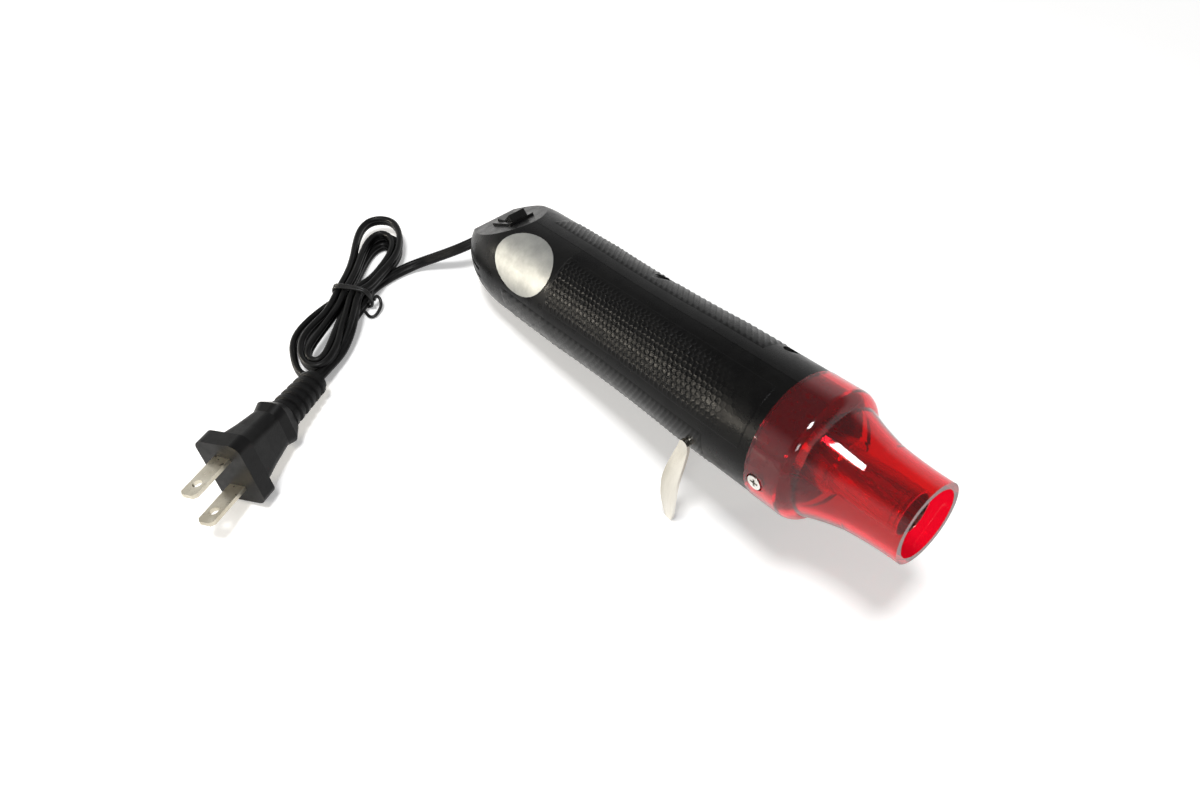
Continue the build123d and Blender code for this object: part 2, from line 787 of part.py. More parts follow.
# Stand legs
pivot = spot(pivot_x, 0, pivot_z)
leg_line = [(leg_in, pivot.Z + leg_end_r)]
for bow, height in zip(leg_bow_shares, leg_height_shares):
    leg_line.append((leg_in + leg_bow * bow, pivot.Z * height))
leg_mid_z = pivot.Z * leg_middle_share
for hand, label in ((-1, "stand_leg_left"), (1, "stand_leg_right")):
    strip = Plane(origin=(pivot.X, 0, 0), x_dir=(0, hand, 0), z_dir=(hand, 0, 0))
    with BuildPart() as leg:
        with BuildSketch(strip):
            with BuildLine():
                FilletPolyline(*leg_line, radius=leg_radii)
            trace(line_width=leg_thick)
        extrude(amount=leg_width, both=True)
        with BuildSketch(Plane(origin=(pivot.X, 0, 0), x_dir=(1, 0, 0), z_dir=(0, -1, 0))):
            with BuildLine():
                head_back = (-leg_end_r, pivot.Z)
                head_front = (leg_end_r, pivot.Z)
                foot_back = (leg_foot_forward - leg_end_r, leg_end_r)
                foot_front = (leg_foot_forward + leg_end_r, leg_end_r)
                ThreePointArc(head_back, (0, pivot.Z + leg_end_r), head_front)
                ThreePointArc(head_front, (leg_foot_forward / 2 + leg_width / 2, leg_mid_z), foot_front)
                ThreePointArc(foot_front, (leg_foot_forward, 0), foot_back)
                ThreePointArc(foot_back, (leg_foot_forward / 2 - leg_width / 2, leg_mid_z), head_back)
            make_face()
        extrude(amount=2 * barrel_r, both=True, mode=Mode.INTERSECT)
        with BuildSketch(Plane(origin=(pivot.X, hand * leg_in, pivot.Z), z_dir=(0, -hand, 0))):
            Circle(leg_pin_r)
        extrude(amount=leg_pin_reach)
    keep(leg, label)

# Rating disc on the near side
label_dir = -tool.y_dir * cos(radians(label_turn)) + tool.z_dir * sin(radians(label_turn))
with BuildPart() as rating_label:
    label_outer = barrel_r + label_gap + label_thick
    ring(label_x - label_half_length - wall, 2 * (label_half_length + wall), label_outer, barrel_r + label_gap)
    with BuildSketch(Plane(origin=spot(label_x, 0, 0), x_dir=tool.x_dir, z_dir=label_dir)):
        Ellipse(label_half_length, barrel_r * sin(label_half_width / barrel_r))
    extrude(amount=2 * barrel_r, mode=Mode.INTERSECT)
keep(rating_label, "rating_label")

# Cord outlet with its bent boot
exit_place = spot(tail_x, 0, cord_line_z)
back = -tool.x_dir
near = -tool.y_dir


def boot_place(turn):
    """Place and heading along the boot's bend."""
    away = boot_straight + boot_bend_r * sin(turn)
    aside = boot_bend_r - boot_bend_r * cos(turn)
    return exit_place + back * away + near * aside, back * cos(turn) + near * sin(turn)


with BuildPart() as cord_grommet:
    with BuildSketch(across(tail_x + wall)):
        with Locations((0, cord_line_z)):
            Circle(boot_flange_r)
    extrude(amount=boot_flange_thick)
    with BuildSketch(across(tail_x)):
        with Locations((0, cord_line_z)):
            Circle(boot_neck_r)
    extrude(amount=wall)
    with BuildSketch(across(tail_x)):
        with Locations((0, cord_line_z)):
            Circle(boot_collar_r)
    extrude(amount=-boot_collar_thick)
    with BuildSketch(across(tail_x + wall)):
        with Locations((0, cord_line_z)):
            Circle(cord_d / 2)
    extrude(amount=boot_flange_thick, mode=Mode.SUBTRACT)
    sections = []
    for step in range(boot_steps + 1):
        place, heading = boot_place(radians(boot_turn) * step / boot_steps)
        with BuildSketch(Plane(origin=place, x_dir=tool.z_dir, z_dir=heading)) as section:
            Circle(boot_root_r + (boot_tip_r - boot_root_r) * step / boot_steps)
        sections.append(section.sketch)
    loft(sections=sections)
keep(cord_grommet, "cord_grommet")

# Hank of four turns: two spiral in on the table, two spiral out on top
hank = Plane(
    origin=(hank_centre[0], hank_centre[1], 0),
    x_dir=(cos(radians(hank_heading)), sin(radians(hank_heading)), 0),
    z_dir=(0, 0, 1),
)
layer_step = cord_d + loop_gap


def turned(x, y, turn):
    """Plan place turned about the waist."""
    angle = radians(turn)
    return (x * cos(angle) - y * sin(angle), x * sin(angle) + y * cos(angle))


def hank_node(count):
    """Place and heading at a station, counted from the start."""
    station = count % stations
    turn = count / stations
    out = abs(turn - turns / 2)
    height = cord_d / 2 + (layer_step if turn >= turns / 2 else 0)
    side = side_inner + side_step * out
    lower = lower_inner + lower_step * out
    upper = upper_inner + upper_step * out
    waist = waist_inner + waist_step * out
    plan = (
        (0, waist), (lower - side, side), (lower, 0), (lower - side, -side),
        (0, -waist), (side - upper, -side), (-upper, 0), (side - upper, side),
    )[station]
    headings = ((1, 0), (1, 0), (0, -1), (-1, 0), (-1, 0), (-1, 0), (0, 1), (1, 0))
    heading = headings[station]
    if station in (1, 2, 3):
        plan = turned(plan[0], plan[1], lower_bend)
        heading = turned(heading[0], heading[1], lower_bend)
    if station in (0, 4):
        height = height + waist_lift
    place = hank.from_local_coords(Vector(plan[0], plan[1], height))
    return place, hank.x_dir * heading[0] + hank.y_dir * heading[1]


def biarc(start, leave, end, arrive):
    """Two arcs, one tangent to each end."""
    chord = end - start
    along = chord.dot(leave + arrive)
    square = 2 * (1 - leave.dot(arrive))
    if leave.get_angle(arrive) < nearly_straight:
        reach = chord.dot(chord) / (2 * along)
    else:
        reach = (sqrt(along * along + square * chord.dot(chord)) - along) / square
    middle = (start + end + (leave - arrive) * reach) / 2
    through = (end - arrive * reach) - (start + leave * reach)
    TangentArc(start, middle, tangent=leave)
    TangentArc(middle, end, tangent=through.normalized())


hank_start, start_heading = hank_node(0)
hank_stop, stop_heading = hank_node(stations * turns)
hank_in = hank_start - start_heading * straight_end
hank_out = hank_stop + stop_heading * straight_end
with BuildLine() as hank_line:
    Line(hank_in, hank_start)
    for count in range(stations * turns):
        place, leave = hank_node(count)
        next_place, arrive = hank_node(count + 1)
        biarc(place, leave, next_place, arrive)
    Line(hank_stop, hank_out)
hank_wire = hank_line.wires()[0]
with BuildPart() as cord_hank:
    with BuildSketch(Plane(origin=hank_in, z_dir=start_heading)):
        Circle(cord_d / 2)
    sweep(path=hank_wire)
keep(cord_hank, "cord_hank")

# Free stretches of the cord
boot_end, boot_heading = boot_place(radians(boot_turn))
plug_dir_flat = Vector(cos(radians(plug_heading)), sin(radians(plug_heading)), 0)
plug_up_flat = Vector(0, 0, 1)
plug_dir = plug_dir_flat * cos(radians(plug_lean)) + plug_up_flat * sin(radians(plug_lean))
plug_up_lean = plug_up_flat * cos(radians(plug_lean)) - plug_dir_flat * sin(radians(plug_lean))
plug_up = plug_up_lean * cos(radians(plug_roll)) - plug_up_lean.cross(plug_dir) * sin(radians(plug_roll))
flange_drop = (
    (flange_height / 2 - flange_corner) * cos(radians(plug_roll))
    + (flange_width / 2 - flange_corner) * sin(radians(plug_roll)) + flange_corner
)
plug_height = flange_drop * cos(radians(plug_lean)) + flange_length * sin(radians(plug_lean))
plug_origin = Vector(plug_face[0], plug_face[1], plug_height)
relief_start = grip_backs[-1]
relief_end = plug_origin - plug_dir * (relief_start + relief_length)


def tube(points, label):
    """Tube of straight runs and arcs, each arc as large as its runs allow."""
    radii = []
    for before, corner, after in zip(points, points[1:], points[2:]):
        shorter = min((corner - before).length, (after - corner).length)
        half = radians((corner - before).get_angle(after - corner)) / 2
        radii.append(arc_share * shorter / tan(half))
    print(label, "radii", [round(radius, 1) for radius in radii])
    with BuildLine() as line:
        FilletPolyline(*points, radius=radii)
    with BuildPart() as piece:
        with BuildSketch(Plane(origin=points[0], z_dir=points[1] - points[0])):
            Circle(cord_d / 2)
        sweep(path=line.wires()[0])
    length = line.wires()[0].length
    section = Face(Wire.make_circle(cord_d / 2)).area
    share = piece.part.volume / (section * length)
    print(label, "length", round(length, 1), "volume share", round(share, 4))
    keep(piece, label)
    return length


lead_route = [boot_end, boot_end + boot_heading * lead_first] + [Vector(point) for point in lead_points]
lead_route = lead_route + [hank_in - start_heading * lead_last, hank_in]
end_route = [hank_out, hank_out + stop_heading * end_first] + [Vector(point) for point in end_points]
end_route = end_route + [relief_end - plug_dir * end_last, relief_end]
lead_length = tube(lead_route, "cord_lead")
end_length = tube(end_route, "cord_end")
hank_length = hank_wire.length
hank_section = Face(Wire.make_circle(cord_d / 2)).area
hank_share = cord_hank.part.volume / hank_section / hank_length
print("cord_hank length", round(hank_length, 1), "volume share", round(hank_share, 4))
print("whole cord", round(lead_length + hank_length + end_length, 1))

# Least gap of the hank to itself, measured on points
samples = []
travelled = 0
for edge in hank_wire.edges():
    pieces = max(2, round(edge.length / (cord_d / 2)))
    for piece in range(pieces):
        samples.append((travelled + edge.length * piece / pieces, edge @ (piece / pieces)))
    travelled = travelled + edge.length
least = hank_length
for index, (here, point) in enumerate(samples):
    for there, other in samples[index + 1:]:
        if there - here > 5 * cord_d:
            least = min(least, (point - other).length)
print("least gap of the hank to itself", round(least - cord_d, 2))

# Twist tie: a band round the waist, a loose loop and a curl
left_edge = waist_inner + waist_step * (turns / 2 - 1 / 2) + cord_d / 2 + tie_gap
right_edge = waist_inner + waist_step * turns / 2 + cord_d / 2 + tie_gap
floor_edge = waist_lift - tie_gap
top_edge = waist_lift + cord_d + layer_step + tie_gap
middle_y = (right_edge - left_edge) / 2
middle_z = (floor_edge + top_edge) / 2
band_plane = Plane(origin=hank.from_local_coords(Vector(0, 0, 0)), x_dir=hank.y_dir, z_dir=hank.x_dir)


def wire_piece(start, points):
    """Bent end of the tie's wire, lying on the table."""
    route = [(start[0], start[1], tie_wire_r)] + [(x, start[1] + y, tie_wire_r) for x, y in points]
    route = [hank.from_local_coords(Vector(point)) for point in route]
    with BuildLine() as line:
        FilletPolyline(*route, radius=tie_bend_r)
    with BuildSketch(Plane(origin=route[0], z_dir=route[1] - route[0])) as flat:
        Circle(tie_wire_r)
    sweep(flat.sketch, path=line.wires()[0])


with BuildPart() as twist_tie:
    with BuildSketch(band_plane):
        with Locations((middle_y, middle_z)):
            RectangleRounded(
                left_edge + right_edge + 2 * tie_thick, top_edge - floor_edge + 2 * tie_thick, tie_corner,
            )
            RectangleRounded(
                left_edge + right_edge, top_edge - floor_edge, tie_corner - tie_thick / 2, mode=Mode.SUBTRACT,
            )
    extrude(amount=tie_width / 2, both=True)
    wire_piece((0, right_edge + tie_thick / 2), tie_loop)
    wire_piece((0, -left_edge - tie_thick / 2), tie_curl)
keep(twist_tie, "twist_tie")

# Plug
plug = Plane(origin=plug_origin, x_dir=plug_dir, z_dir=plug_up)


def plug_section(behind):
    """Plane square to the plug's axis, with y across and z up."""
    return Plane(origin=plug_origin - plug_dir * behind, x_dir=plug.y_dir, z_dir=plug_dir)


with BuildPart() as plug_body:
    with BuildSketch(plug_section(flange_length)):
        RectangleRounded(flange_width, flange_height, flange_corner)
    extrude(amount=flange_length)
    grips = []
    for behind, height, width in zip(grip_backs, grip_heights, grip_widths):
        with BuildSketch(plug_section(behind)) as grip:
            RectangleRounded(width, height, grip_corner)
        grips.append(grip.sketch)
    loft(sections=grips, ruled=True)
keep(plug_body, "plug_body")

with BuildPart() as plug_strain_relief:
    rings = []
    for rib in range(rib_count):
        for number, share in enumerate(rib_shares):
            down = (rib + share) / rib_count
            core = relief_root_r + (relief_tip_r - relief_root_r) * down
            raised = core + (rib_rise if number in (1, 2) else 0)
            with BuildSketch(plug_section(relief_start + relief_length * down)) as rib_ring:
                Circle(raised)
            rings.append(rib_ring.sketch)
    with BuildSketch(plug_section(relief_start + relief_length)) as rib_ring:
        Circle(relief_tip_r)
    rings.append(rib_ring.sketch)
    loft(sections=rings, ruled=True)
keep(plug_strain_relief, "plug_strain_relief")

with BuildPart() as plug_blades:
    for hand in (-1, 1):
        height = hand * blade_apart / 2
        blade_plane = Plane(origin=plug.from_local_coords(Vector(0, 0, height)), x_dir=plug_dir, z_dir=plug_up)
        with BuildSketch(blade_plane):
            with BuildLine():
                half_width = blade_width / 2
                Polyline(
                    (0, -half_width), (blade_length - blade_tip, -half_width), (blade_length, blade_tip - half_width),
                    (blade_length, half_width - blade_tip), (blade_length - blade_tip, half_width),
                    (0, half_width), close=True,
                )
            make_face()
            with Locations((blade_hole_x, 0)):
                Circle(blade_hole_r, mode=Mode.SUBTRACT)
        extrude(amount=blade_thick / 2, both=True)
keep(plug_blades, "plug_blades")
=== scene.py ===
"""Looks of the embossing heat tool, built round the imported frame. Metres, +Z up, +X towards the nozzle."""

from math import cos, pi, radians, sin, sqrt

import bmesh
import bpy
from mathutils import Matrix, Vector


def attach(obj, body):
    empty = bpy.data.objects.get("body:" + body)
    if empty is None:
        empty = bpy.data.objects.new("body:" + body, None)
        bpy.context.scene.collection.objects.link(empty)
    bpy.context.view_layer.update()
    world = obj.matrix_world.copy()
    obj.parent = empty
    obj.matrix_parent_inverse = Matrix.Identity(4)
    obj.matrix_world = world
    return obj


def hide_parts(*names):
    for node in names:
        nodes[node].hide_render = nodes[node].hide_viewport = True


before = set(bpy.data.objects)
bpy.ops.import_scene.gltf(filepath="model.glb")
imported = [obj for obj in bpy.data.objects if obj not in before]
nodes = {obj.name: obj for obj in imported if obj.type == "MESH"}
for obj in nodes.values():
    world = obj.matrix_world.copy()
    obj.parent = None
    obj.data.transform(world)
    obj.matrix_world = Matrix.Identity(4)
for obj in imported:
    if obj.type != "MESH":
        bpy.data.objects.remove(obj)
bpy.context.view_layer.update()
MM = 0.001

# Camera, solved from the photograph; places in millimetres
PHOTO_WIDTH_PX = 1200
FOCAL_PX = 835
SENSOR_MM = 36.0
CAMERA_PLACE = (130.1, -135.25, 246.97)
CAMERA_AIM = (-0.476, 0.390, -0.788)
NEAREST_SEEN = 10

camera_data = bpy.data.cameras.new("camera")
camera_data.sensor_width = SENSOR_MM
camera_data.lens = FOCAL_PX / PHOTO_WIDTH_PX * SENSOR_MM
camera_data.clip_start = NEAREST_SEEN * MM
camera = bpy.data.objects.new("camera", camera_data)
camera.location = Vector(CAMERA_PLACE) * MM
camera.rotation_euler = Vector(CAMERA_AIM).to_track_quat("-Z", "Y").to_euler()
bpy.context.scene.collection.objects.link(camera)
bpy.context.scene.camera = camera

# Tool frame, with X along the tool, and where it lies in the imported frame
TILT = radians(10.67)
TOOL_ORIGIN = (55.753, 0, 46.491)
TOOL = Matrix.Translation(Vector(TOOL_ORIGIN) * MM) @ Matrix.Rotation(-TILT, 4, "Y")


def tool_place(x, y, z):
    """World place in metres of a tool place in millimetres."""
    return TOOL @ Vector((x * MM, y * MM, z * MM))


# Materials; grain sizes in waves per metre, bump depths in metres
MOTTLE = 120
SHEEN = 260
WAVINESS = 90
WAVE_DEPTH = 0.2 * MM
METAL_MOTTLE = 150
METAL_SHEEN = 700
METAL_GRAIN = 2600
ALONG_X = (0.05, 1, 1)
ALONG_Z = (1, 1, 0.06)


def material(name, colour, rough, metallic=0.0, gloss=0.5):
    """New node material and its shader."""
    made = bpy.data.materials.new(name)
    made.use_nodes = True
    shader = made.node_tree.nodes["Principled BSDF"]
    shader.inputs["Base Color"].default_value = (colour[0], colour[1], colour[2], 1)
    shader.inputs["Roughness"].default_value = rough
    shader.inputs["Metallic"].default_value = metallic
    shader.inputs["Specular IOR Level"].default_value = gloss
    return made, shader


def grain(made, scale, detail=3.0, stretch=(1, 1, 1), spread=0.55):
    """Noise over the object, scale in waves per metre."""
    tree = made.node_tree
    place = tree.nodes.new("ShaderNodeTexCoord")
    shape = tree.nodes.new("ShaderNodeMapping")
    shape.inputs["Scale"].default_value = stretch
    spots = tree.nodes.new("ShaderNodeTexNoise")
    spots.inputs["Scale"].default_value = scale
    spots.inputs["Detail"].default_value = detail
    spots.inputs["Roughness"].default_value = spread
    tree.links.new(place.outputs["Object"], shape.inputs["Vector"])
    tree.links.new(shape.outputs["Vector"], spots.inputs["Vector"])
    return spots.outputs["Fac"]


def ranged(tree, value, low, high, from_low=0.3, from_high=0.7):
    """A value spread between two levels."""
    node = tree.nodes.new("ShaderNodeMapRange")
    node.inputs["From Min"].default_value = from_low
    node.inputs["From Max"].default_value = from_high
    node.inputs["To Min"].default_value = low
    node.inputs["To Max"].default_value = high
    tree.links.new(value, node.inputs["Value"])
    return node.outputs["Result"]


def tinted(made, shader, value, low, high, from_low=0.35, from_high=0.65):
    """Base colour that runs between two colours."""
    ramp = made.node_tree.nodes.new("ShaderNodeValToRGB")
    ramp.color_ramp.elements[0].position = from_low
    ramp.color_ramp.elements[0].color = (low[0], low[1], low[2], 1)
    ramp.color_ramp.elements[1].position = from_high
    ramp.color_ramp.elements[1].color = (high[0], high[1], high[2], 1)
    made.node_tree.links.new(value, ramp.inputs["Fac"])
    made.node_tree.links.new(ramp.outputs["Color"], shader.inputs["Base Color"])


def roughened(made, shader, value, low, high):
    """Roughness that runs between two levels."""
    tree = made.node_tree
    tree.links.new(ranged(tree, value, low, high), shader.inputs["Roughness"])


def bumped(made, shader, layers):
    """Bumps from layers of (value, depth in metres, strength)."""
    before = None
    for value, depth, strength in layers:
        bump = made.node_tree.nodes.new("ShaderNodeBump")
        bump.inputs["Distance"].default_value = depth
        bump.inputs["Strength"].default_value = strength
        made.node_tree.links.new(value, bump.inputs["Height"])
        if before:
            made.node_tree.links.new(before, bump.inputs["Normal"])
        before = bump.outputs["Normal"]
    made.node_tree.links.new(before, shader.inputs["Normal"])


def plastic(name, low, high, rough, fine, depth, gloss=0.35):
    """Moulded plastic or rubber with a fine grain and a slight mottle."""
    made, shader = material(name, low, rough, gloss=gloss)
    tinted(made, shader, grain(made, MOTTLE, 4), low, high)
    roughened(made, shader, grain(made, SHEEN, 3), rough - 0.06, rough + 0.08)
    fine_layer = (grain(made, fine, 2), depth, 0.5)
    wavy_layer = (grain(made, WAVINESS, 2), WAVE_DEPTH, 0.12)
    bumped(made, shader, [fine_layer, wavy_layer])
    return made


def metal(name, low, high, rough, along=(1, 1, 1), depth=0.02 * MM):
    """Metal with a drawn or brushed grain."""
    made, shader = material(name, low, rough, metallic=1.0)
    tinted(made, shader, grain(made, METAL_MOTTLE, 4, along), low, high)
    roughened(made, shader, grain(made, METAL_SHEEN, 4, along), rough - 0.05, rough + 0.1)
    bumped(made, shader, [(grain(made, METAL_GRAIN, 3, along), depth, 0.5)])
    return made


black_shell = plastic(
    "black_shell", (0.002, 0.002, 0.0021), (0.0035, 0.0035, 0.0034), 0.29, 2600, 0.06 * MM, gloss=0.11)
black_cord = plastic(
    "black_cord", (0.003, 0.003, 0.003), (0.006, 0.006, 0.006), 0.38, 1500, 0.05 * MM, gloss=0.18)
black_plug = plastic(
    "black_plug", (0.003, 0.003, 0.0032), (0.006, 0.006, 0.006), 0.42, 1800, 0.08 * MM, gloss=0.16)
black_switch = plastic(
    "black_switch", (0.003, 0.003, 0.003), (0.006, 0.006, 0.006), 0.3, 2200, 0.03 * MM, gloss=0.22)
black_tie = plastic("black_tie", (0.005, 0.005, 0.005), (0.009, 0.009, 0.009), 0.35, 2000, 0.04 * MM)
inner_plastic = plastic("inner_plastic", (0.05, 0.05, 0.052), (0.08, 0.08, 0.082), 0.5, 1800, 0.06 * MM)
stand_steel = metal("stand_steel", (0.5, 0.47, 0.4), (0.68, 0.65, 0.58), 0.16, ALONG_Z)
dark_steel = metal("dark_steel", (0.02, 0.02, 0.02), (0.04, 0.04, 0.04), 0.4)
screw_steel = metal("screw_steel", (0.62, 0.6, 0.56), (0.8, 0.79, 0.76), 0.28)
tube_steel = metal("tube_steel", (0.5, 0.46, 0.42), (0.7, 0.67, 0.63), 0.24, ALONG_X)
blade_steel = metal("blade_steel", (0.46, 0.42, 0.33), (0.66, 0.62, 0.52), 0.3, depth=0.03 * MM)
motor_steel = metal("motor_steel", (0.5, 0.5, 0.52), (0.66, 0.66, 0.68), 0.32, ALONG_X)
brass = metal("brass", (0.62, 0.46, 0.2), (0.78, 0.6, 0.3), 0.3)
coil_wire = metal("coil_wire", (0.25, 0.23, 0.22), (0.38, 0.35, 0.32), 0.45)
label_silver = metal("label_silver", (0.29, 0.295, 0.285), (0.36, 0.365, 0.35), 0.5, depth=0.01 * MM)

mica, mica_shader = material("mica", (0.55, 0.48, 0.36), 0.4)
tinted(mica, mica_shader, grain(mica, 300, 5, (0.3, 1, 1)), (0.42, 0.36, 0.26), (0.66, 0.6, 0.47))
roughened(mica, mica_shader, grain(mica, 500, 3), 0.3, 0.55)
bumped(mica, mica_shader, [(grain(mica, 900, 4), 0.06 * MM, 0.4)])

board, board_shader = material("board", (0.1, 0.2, 0.07), 0.45)
tinted(board, board_shader, grain(board, 900, 2), (0.08, 0.17, 0.06), (0.13, 0.24, 0.09))
bumped(board, board_shader, [(grain(board, 2000, 2), 0.04 * MM, 0.3)])

sleeve, sleeve_shader = material("sleeve", (0.7, 0.67, 0.6), 0.5)
tinted(sleeve, sleeve_shader, grain(sleeve, 400, 3), (0.6, 0.57, 0.5), (0.74, 0.71, 0.65))
bumped(sleeve, sleeve_shader, [(grain(sleeve, 1500, 2), 0.05 * MM, 0.4)])

guard_red, guard_shader = material("guard_red", (0.78, 0.003, 0.018), 0.07, gloss=0.25)
guard_shader.inputs["Transmission Weight"].default_value = 0.96
guard_shader.inputs["IOR"].default_value = 1.49
roughened(guard_red, guard_shader, grain(guard_red, 180, 3), 0.03, 0.1)
bumped(guard_red, guard_shader, [(grain(guard_red, 60, 2), 0.2 * MM, 0.08)])

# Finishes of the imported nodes
dressing = {
    black_shell: ("housing_left", "housing_right"),
    black_switch: ("switch_body", "switch_rocker"),
    black_cord: ("cord_grommet", "cord_core"),
    black_plug: ("plug_body", "plug_strain_relief"),
    inner_plastic: ("motor_end_cap", "fan_impeller", "fan_shroud", "cord_clamp", "rectifier_diodes"),
    stand_steel: ("stand_leg_left", "stand_leg_right"),
    screw_steel: ("guard_screws", "clamp_screws", "thermal_cutoff", "motor_shaft"),
    dark_steel: ("housing_screws",),
    tube_steel: ("heater_tube",),
    blade_steel: ("plug_blades",),
    motor_steel: ("motor_can",),
    brass: ("switch_terminals",),
    coil_wire: ("heating_coil",),
    label_silver: ("rating_label",),
    mica: ("mica_liner", "mica_cross"),
    board: ("circuit_board",),
    sleeve: ("lead_wires",),
    guard_red: ("nozzle_guard",),
}
for finish, names in dressing.items():
    for name in names:
        mesh = nodes[name].data
        if not mesh.materials:
            mesh.materials.append(finish)
        for index in range(len(mesh.materials)):
            mesh.materials[index] = finish


# Mesh helpers
SPLINE_ORDER = 3
CLOSE_POINTS = 0.3 * MM


def clamped(value):
    """The value held between 0 and 1."""
    return max(0.0, min(1.0, value))


def smooth(value):
    """Soft step from 0 to 1."""
    value = clamped(value)
    return value * value * (3 - 2 * value)


def piece(name, verts, faces, finish, rounded=True):
    """New mesh object."""
    mesh = bpy.data.meshes.new(name)
    mesh.from_pydata([tuple(v) for v in verts], [], faces)
    mesh.validate()
    if rounded:
        mesh.polygons.foreach_set("use_smooth", [True] * len(mesh.polygons))
    mesh.materials.append(finish)
    made = bpy.data.objects.new(name, mesh)
    bpy.context.scene.collection.objects.link(made)
    return made


def add_spline(curve, points):
    """NURBS spline through the run of points in millimetres."""
    spline = curve.splines.new("NURBS")
    spline.points.add(len(points) - 1)
    for spot, point in zip(spline.points, points):
        spot.co = (point[0] * MM, point[1] * MM, point[2] * MM, 1)
    spline.order_u = SPLINE_ORDER
    spline.use_endpoint_u = True


def spline_line(points, resolution):
    """Points along the NURBS curve of the run, those that lie too close together left out."""
    curve = bpy.data.curves.new("line", "CURVE")
    curve.dimensions = "3D"
    curve.resolution_u = resolution
    add_spline(curve, points)
    holder = bpy.data.objects.new("line", curve)
    bpy.context.scene.collection.objects.link(holder)
    bpy.context.view_layer.update()
    mesh = bpy.data.meshes.new_from_object(holder)
    line = []
    for vert in mesh.vertices:
        if not line or (vert.co - line[-1]).length > CLOSE_POINTS:
            line.append(vert.co.copy())
    bpy.data.meshes.remove(mesh)
    bpy.data.objects.remove(holder)
    bpy.data.curves.remove(curve)
    return line


def swept(name, line, outline, leans, finish):
    """Closed tube of an outline along a line; leans gives the outline's turn from upright at each point."""
    verts = []
    for index, point in enumerate(line):
        ahead = line[min(index + 1, len(line) - 1)]
        behind = line[max(index - 1, 0)]
        along = (ahead - behind).normalized()
        side = along.cross(Vector((0, 0, 1))).normalized()
        up = side.cross(along)
        wide = up * cos(leans[index]) + side * sin(leans[index])
        thin = along.cross(wide)
        for a, b in outline:
            verts.append(point + wide * a + thin * b)
    count = len(outline)
    faces = []
    for ring in range(len(line) - 1):
        near, far = ring * count, (ring + 1) * count
        for step in range(count):
            after = (step + 1) % count
            faces.append((near + step, near + after, far + after, far + step))
    faces.append(tuple(range(count)))
    faces.append(tuple(range(len(line) * count - 1, (len(line) - 1) * count - 1, -1)))
    made = piece(name, verts, faces, finish)
    tidy = bmesh.new()
    tidy.from_mesh(made.data)
    bmesh.ops.recalc_face_normals(tidy, faces=tidy.faces)
    tidy.to_mesh(made.data)
    tidy.free()
    return made


